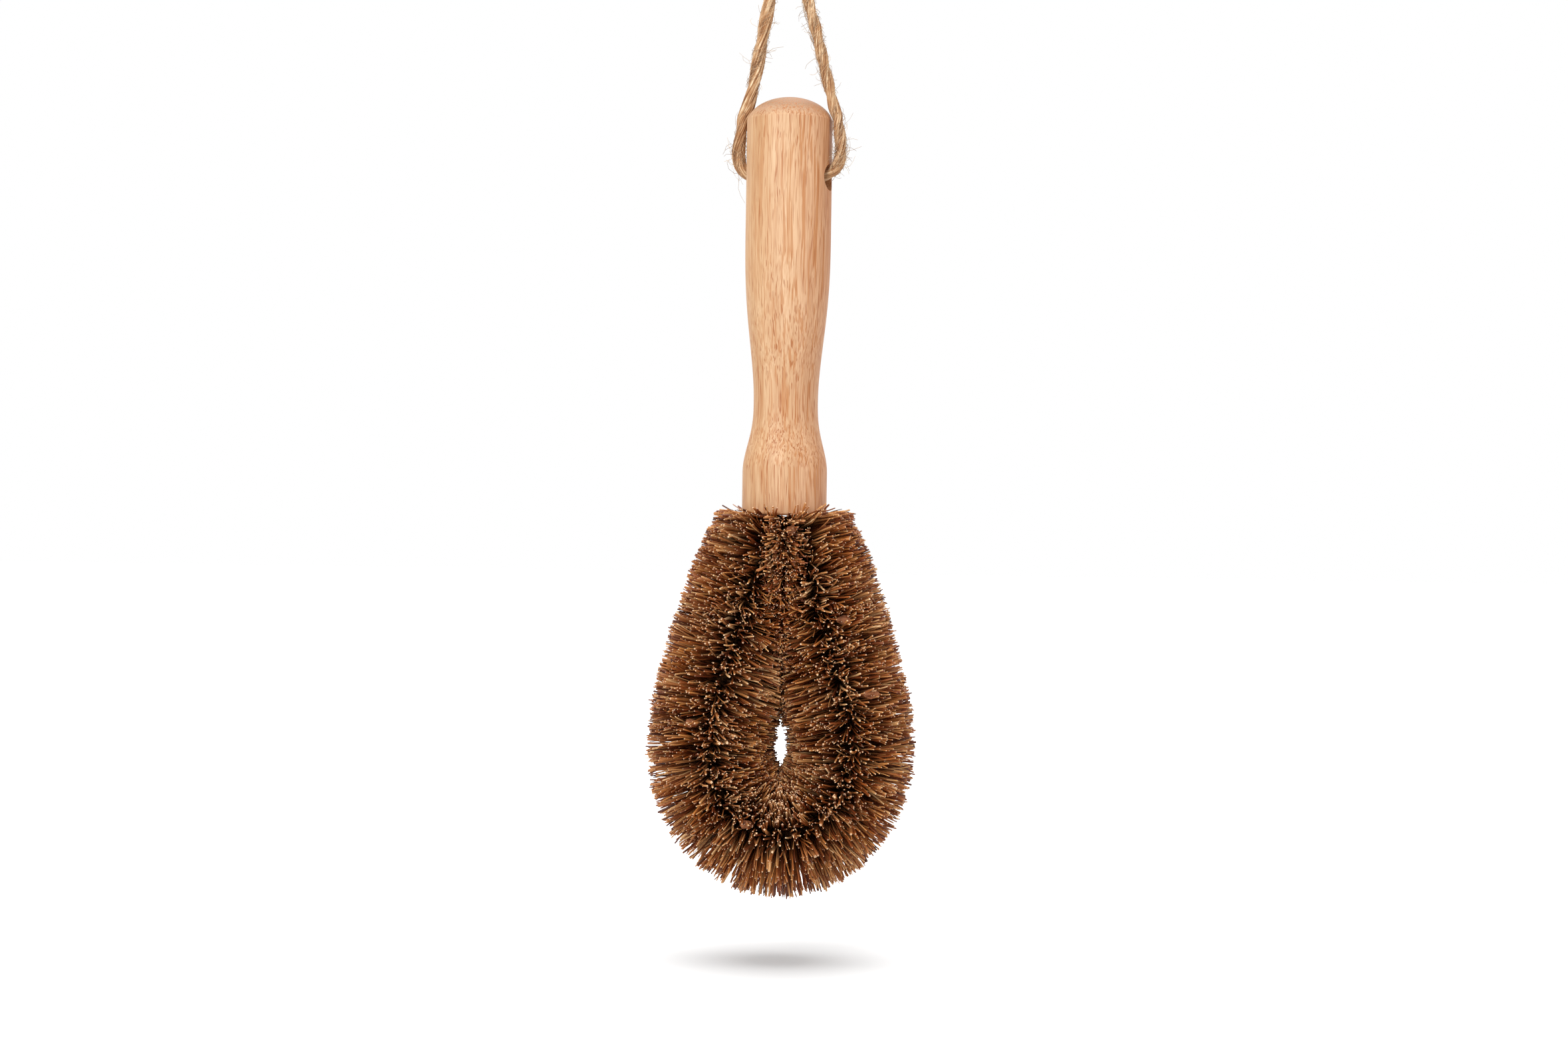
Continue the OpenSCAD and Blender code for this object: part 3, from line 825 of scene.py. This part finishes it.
fuzz = []
for name, (_, line, length, side, _) in legs.items():
    rng = np.random.default_rng(11 if name == "left" else 12)
    along = np.gradient(line, axis=0)
    along /= np.linalg.norm(along, axis=1)[:, None]
    over = np.cross(along, across_loop)

    # About half lie along the twine, and lift off it in a low arc
    size = (lying_each, 1)
    steps = np.linspace(0, 1, hair_points)[None, :]
    long = rng.uniform(0.003, 0.009, size)
    start = 0.011 + (length - 0.023) * rng.random(size)
    angle = rng.uniform(0, 2 * np.pi, size) + rng.normal(5, 2, size) * steps * long / 0.01
    lift = 0.0013 + np.abs(rng.normal(0, 0.0005, size))
    lift = lift + rng.normal(0, 0.0002, (lying_each, hair_points))
    lying = off_cord(line, over, (start + long * steps) / length, angle, lift)

    # The others stand well off and curl, most of them where the cord bends at the handle
    size = (standing_each, 1)
    at_bend = np.abs(rng.normal(0, 0.005, size)) + bend_run
    stays = rng.random(size) < bend_share
    start = np.where(stays, at_bend, rng.uniform(0.014, length - 0.01, size))
    long = np.clip(rng.lognormal(math.log(0.0044), 0.45, size), 0.001, 0.009)
    angle = side * np.pi / 2 + rng.normal(0, 1.1, size) + rng.normal(0, 0.8, size) * steps
    turn = rng.normal(0, 2.2, size)
    tip_angle = rng.normal(0, 1.0, size) + turn * steps
    piece_l = long / (hair_points - 1)
    height = 0.001 + np.cumsum(np.cos(tip_angle) * piece_l, 1) - np.cos(tip_angle[:, :1]) * piece_l
    height = np.maximum(height, 0.001)
    sliding = start + np.cumsum(np.sin(tip_angle) * piece_l, 1)
    standing = off_cord(line, over, sliding / length, angle, height)

    # None passes through the handle, and one too tightly curled to draw is left out
    lines = np.concatenate([lying, standing])
    along_hole = lines[..., 0] * math.cos(hole_turn) - lines[..., 1] * math.sin(hole_turn)
    beside = np.abs(along_hole).min(1) > clear_of_grip
    above = lines[..., 2].min(1) > clear_of_dome
    drawn_out = np.linalg.norm(np.diff(lines, axis=1), axis=2).min(1) > 0.0001
    lines = lines[(beside | above) & drawn_out]
    made = hairs(
        f"stray_hairs_{name}", lines, hair_r,
        np.tile(np.linspace(1, 0.7, hair_points), (len(lines), 1)), np.zeros(len(lines)),
    )
    own = rng.random(len(lines))[:, None]
    mark(made, "strand", np.repeat(own, hair_points, 1), np.repeat(own, 2, 1))
    fuzz.append(made)

# Jute: golden brown, matt and hairy. Fibres run along each ply as fine light and dark lines
jute, tree = new_material("jute_twine")
ply = add(tree, "Attribute", attribute_name="ply").outputs["Vector"]
lie = add(tree, "Mapping", {"Vector": ply, "Scale": (1.0, 1.0, 0.035)})
fibres = add(tree, "TexNoise", {"Vector": lie.outputs["Vector"], "Scale": 3.6, "Detail": 4.0})
broad = add(tree, "Mapping", {"Vector": ply, "Scale": (1.0, 1.0, 0.3)})
blotch = add(tree, "TexNoise", {"Vector": broad.outputs["Vector"], "Scale": 1.0, "Detail": 2.0})
jute_tone = add(tree, "ValToRGB", {"Fac": fibres.outputs["Fac"]}, [
    (0.36, "7E5533"), (0.64, "F4DAB5"), (0.5, "C29468"),
])
blotch_tone = add(tree, "ValToRGB", {"Fac": blotch.outputs["Fac"]}, [
    (0.35, "DCC8B4"), (0.65, "FFFFFF"),
])
twined = add(tree, "Mix", {
    0: 1.0, 6: jute_tone.outputs["Color"], 7: blotch_tone.outputs["Color"],
}, data_type="RGBA", blend_type="MULTIPLY")
ridges = add(tree, "Bump", {"Height": fibres.outputs["Fac"], "Strength": 0.8, "Distance": 0.0003})
rope = add(tree, "BsdfPrincipled", {
    "Base Color": twined.outputs[2], "Roughness": 0.85, "Normal": ridges.outputs["Normal"],
})
add(tree, "OutputMaterial", {"Surface": rope.outputs["BSDF"]})

# The same jute, seen as single hairs from pale to brown
loose_jute, tree = new_material("jute_hairs")
strand = add(tree, "Attribute", attribute_name="strand").outputs["Fac"]
hair_tone = add(tree, "ValToRGB", {"Fac": strand}, [(0.0, "80583A"), (1.0, "DCBE98")])
hair = add(tree, "BsdfPrincipled", {"Base Color": hair_tone.outputs["Color"], "Roughness": 0.7})
add(tree, "OutputMaterial", {"Surface": hair.outputs["BSDF"]})

knot_pieces = [coil_piece] + tails
for piece, material in (
    [(leg[0], jute) for leg in legs.values()]
    + [(piece, jute) for piece in knot_pieces]
    + [(piece, loose_jute) for piece in fuzz]
):
    give(piece, material)
    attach(piece, "cord")
for piece in knot_pieces:
    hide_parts("cord_knot")
for (name, (piece, line, length, side, diameter)), loose in zip(legs.items(), fuzz):
    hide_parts(f"cord_{name}")

# Floor
# A plain white floor a little below the hanging brush, which keeps its soft shadow. It is a
# wide painted board that isn't part of the brush.
floor_z = -0.3078
floor_shape = bmesh.new()
bmesh.ops.create_grid(floor_shape, x_segments=1, y_segments=1, size=6)
bmesh.ops.translate(floor_shape, verts=floor_shape.verts, vec=(0, 0, floor_z))
floor_mesh = bpy.data.meshes.new("floor")
floor_shape.to_mesh(floor_mesh)
floor_shape.free()
floor = bpy.data.objects.new("floor", floor_mesh)
bpy.context.scene.collection.objects.link(floor)


def in_view(tree):
    """1 where the camera sees a surface, straight or by way of metal or glass, and else 0."""
    path = add(tree, "LightPath").outputs
    seen = add(tree, "Math", {
        0: path["Is Camera Ray"], 1: path["Is Glossy Ray"],
    }, operation="MAXIMUM")
    return add(tree, "Math", {
        0: seen.outputs[0], 1: path["Is Transmission Ray"],
    }, operation="MAXIMUM").outputs[0]


# Matt white paint: it takes the shadow under the brush, deepened by a painted shadow where its glow
# fades, and shines up to plain white away from it
white_floor, tree = new_material("matt_white_paint")
seen = in_view(tree)
paint = add(tree, "BsdfDiffuse", {"Color": linear("E4E4E4")})
place = add(tree, "TexCoord").outputs["Object"]
flat = add(tree, "VectorMath", {0: place, 1: (1.0, 1.0, 0.0)}, operation="MULTIPLY")
away = add(tree, "VectorMath", {0: flat.outputs[0]}, operation="LENGTH")
# Painted shadow: the glow fades out towards the spot under the brush, so the floor there is darker
# than its light makes it
painted_shadow_fade = add(tree, "MapRange", {
    "Value": away.outputs["Value"], "From Min": 0.008, "From Max": 0.13, "To Max": 0.95,
})
glow = add(tree, "Emission", {"Color": linear("FFFFFF"), "Strength": painted_shadow_fade.outputs["Result"]})
both = add(tree, "AddShader", {0: paint.outputs[0], 1: glow.outputs[0]})
shown = add(tree, "MixShader", {0: seen, 1: paint.outputs[0], 2: both.outputs[0]})
add(tree, "OutputMaterial", {"Surface": shown.outputs[0]})
give(floor, white_floor)

# Light
# Plain studio light: white surroundings, a broad lamp from the front left, a weaker one from
# the right and a wide soft one above.
world = bpy.data.worlds.new("white_studio")
world.use_nodes = True
tree = world.node_tree
tree.nodes.clear()
seen = in_view(tree)
around = add(tree, "Background", {"Color": linear("FFFFFF"), "Strength": 0.4})
white = add(tree, "Background", {"Color": linear("FFFFFF"), "Strength": 1.0})
shown = add(tree, "MixShader", {0: seen, 1: around.outputs[0], 2: white.outputs[0]})
add(tree, "OutputWorld", {"Surface": shown.outputs[0]})
bpy.context.scene.world = world


def lamp(name, place, target, width, power):
    """A square lamp that faces a target, its sizes in metres and its power in watts."""
    light = bpy.data.lights.new(name, "AREA")
    light.shape = "SQUARE"
    light.size = width
    light.energy = power
    made = bpy.data.objects.new(name, light)
    made.location = place
    made.rotation_euler = (Vector(target) - Vector(place)).to_track_quat("-Z", "Y").to_euler()
    bpy.context.scene.collection.objects.link(made)


lamp("front_left", (-0.7, -1.1, 0.35), (0, 0, -0.18), 0.6, 9.5)
lamp("right", (0.9, -0.8, 0.0), (0, 0, -0.18), 0.5, 2.5)
lamp("above", (0.0, 0.0, 0.6), (0, 0, -0.2), 1.3, 10)

# Camera
# Square on to the brush from 0.8 m away, tipped a little so that the handle leans right. The
# lens frames it as the photograph does, with the knot above the picture.
camera_data = bpy.data.cameras.new("camera")
camera_data.lens = 61.1
camera_data.sensor_width = 36
camera = bpy.data.objects.new("camera", camera_data)
camera.location = (0.0, -0.8, -0.1758)
camera.rotation_euler = (math.radians(90), math.radians(-0.85), 0)
bpy.context.scene.collection.objects.link(camera)
bpy.context.scene.camera = camera
bpy.context.scene.view_settings.view_transform = "Standard"
